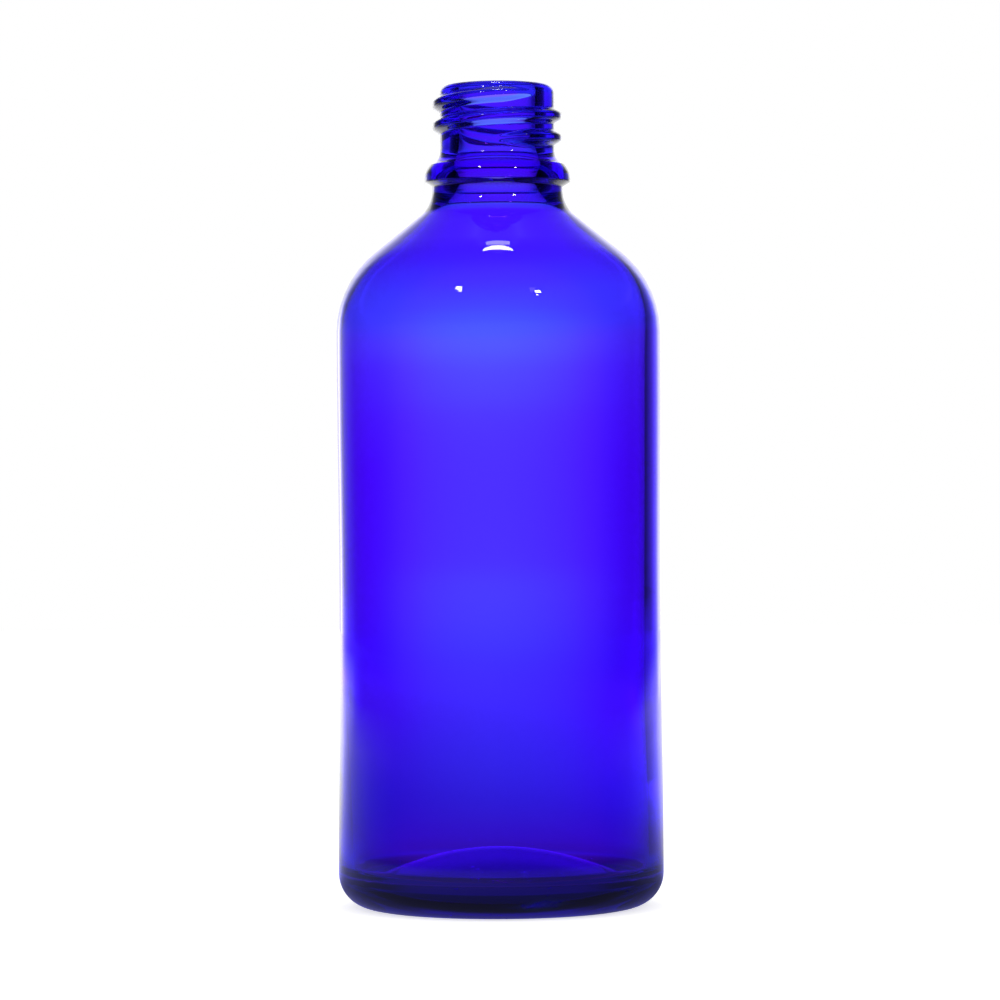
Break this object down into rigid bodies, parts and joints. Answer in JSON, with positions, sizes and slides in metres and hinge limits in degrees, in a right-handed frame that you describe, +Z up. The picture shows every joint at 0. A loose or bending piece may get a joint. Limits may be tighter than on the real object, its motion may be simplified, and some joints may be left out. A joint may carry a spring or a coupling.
{
  "type": "glass bottle",
  "caption": "Small round bottle of clear blue glass with a sloping shoulder, a locking bead and a narrow screw neck, open at the mouth, for liquids or powders.",
  "frame": {"origin": "centre of the circle the bottle stands on, at floor level", "axes": "+Z up along the bottle's axis, from the base to the mouth; the bottle is round, and +Y points away from the picture's camera"},
  "size_m": [0.0446, 0.0446, 0.1124],
  "materials": {
    "blue_glass": "clear, smooth, fire-polished"
  },
  "bodies": {
    "root": {"bottle": "blue_glass"}
  },
  "joints": []
}
